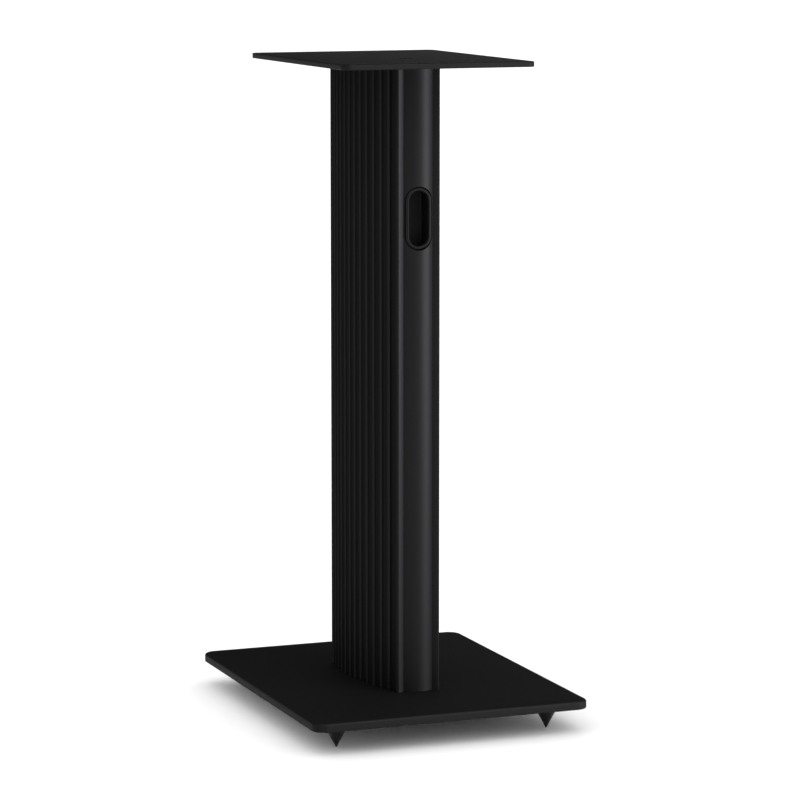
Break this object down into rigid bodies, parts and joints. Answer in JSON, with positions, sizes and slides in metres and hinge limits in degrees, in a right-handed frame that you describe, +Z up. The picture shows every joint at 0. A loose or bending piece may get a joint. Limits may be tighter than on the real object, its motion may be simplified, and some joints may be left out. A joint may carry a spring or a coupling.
{
  "type": "speaker stand",
  "caption": "Floor stand for a bookshelf loudspeaker: base plate on screw-in spikes, fluted hollow column with a cable entry, and a flat top plate.",
  "frame": {"origin": "on the floor under the middle of the base plate, level with the spike tips", "axes": "+Z up, -Y towards the rear face that holds the cable entry, +X to the right of someone who looks along +Y"},
  "size_m": [0.27, 0.332, 0.618],
  "materials": {
    "powder_coat": "fine-textured satin black powder coat on steel plate",
    "anodised": "satin black anodised extrusion",
    "black_plastic": "moulded black plastic, fine satin grain",
    "black_steel": "black oxide on turned steel",
    "zinc_steel": "zinc-plated steel"
  },
  "bodies": {
    "stand": {"base_plate": "powder_coat", "column": "anodised", "top_plate": "powder_coat", "cable_bezel": "black_plastic", "cable_exit_bush": "black_plastic", "insert_rear_left": "zinc_steel", "insert_rear_right": "zinc_steel", "insert_front_left": "zinc_steel", "insert_front_right": "zinc_steel", "top_screw_rear": "black_steel", "top_screw_front": "black_steel", "base_screw_rear": "black_steel", "base_screw_front": "black_steel", "base_washer_rear": "zinc_steel", "base_washer_front": "zinc_steel"},
    "spike_rear_left_body": {"spike_rear_left": "black_steel"},
    "spike_rear_right_body": {"spike_rear_right": "black_steel"},
    "spike_front_left_body": {"spike_front_left": "black_steel"},
    "spike_front_right_body": {"spike_front_right": "black_steel"}
  },
  "joints": [
    {"name": "spike_rear_left_screw", "type": "slide", "parent": "stand", "child": "spike_rear_left_body", "axis": [0, 0, -1], "range_m": [0, 0.003]},
    {"name": "spike_rear_right_screw", "type": "slide", "parent": "stand", "child": "spike_rear_right_body", "axis": [0, 0, -1], "range_m": [0, 0.003]},
    {"name": "spike_front_left_screw", "type": "slide", "parent": "stand", "child": "spike_front_left_body", "axis": [0, 0, -1], "range_m": [0, 0.003]},
    {"name": "spike_front_right_screw", "type": "slide", "parent": "stand", "child": "spike_front_right_body", "axis": [0, 0, -1], "range_m": [0, 0.003]}
  ]
}
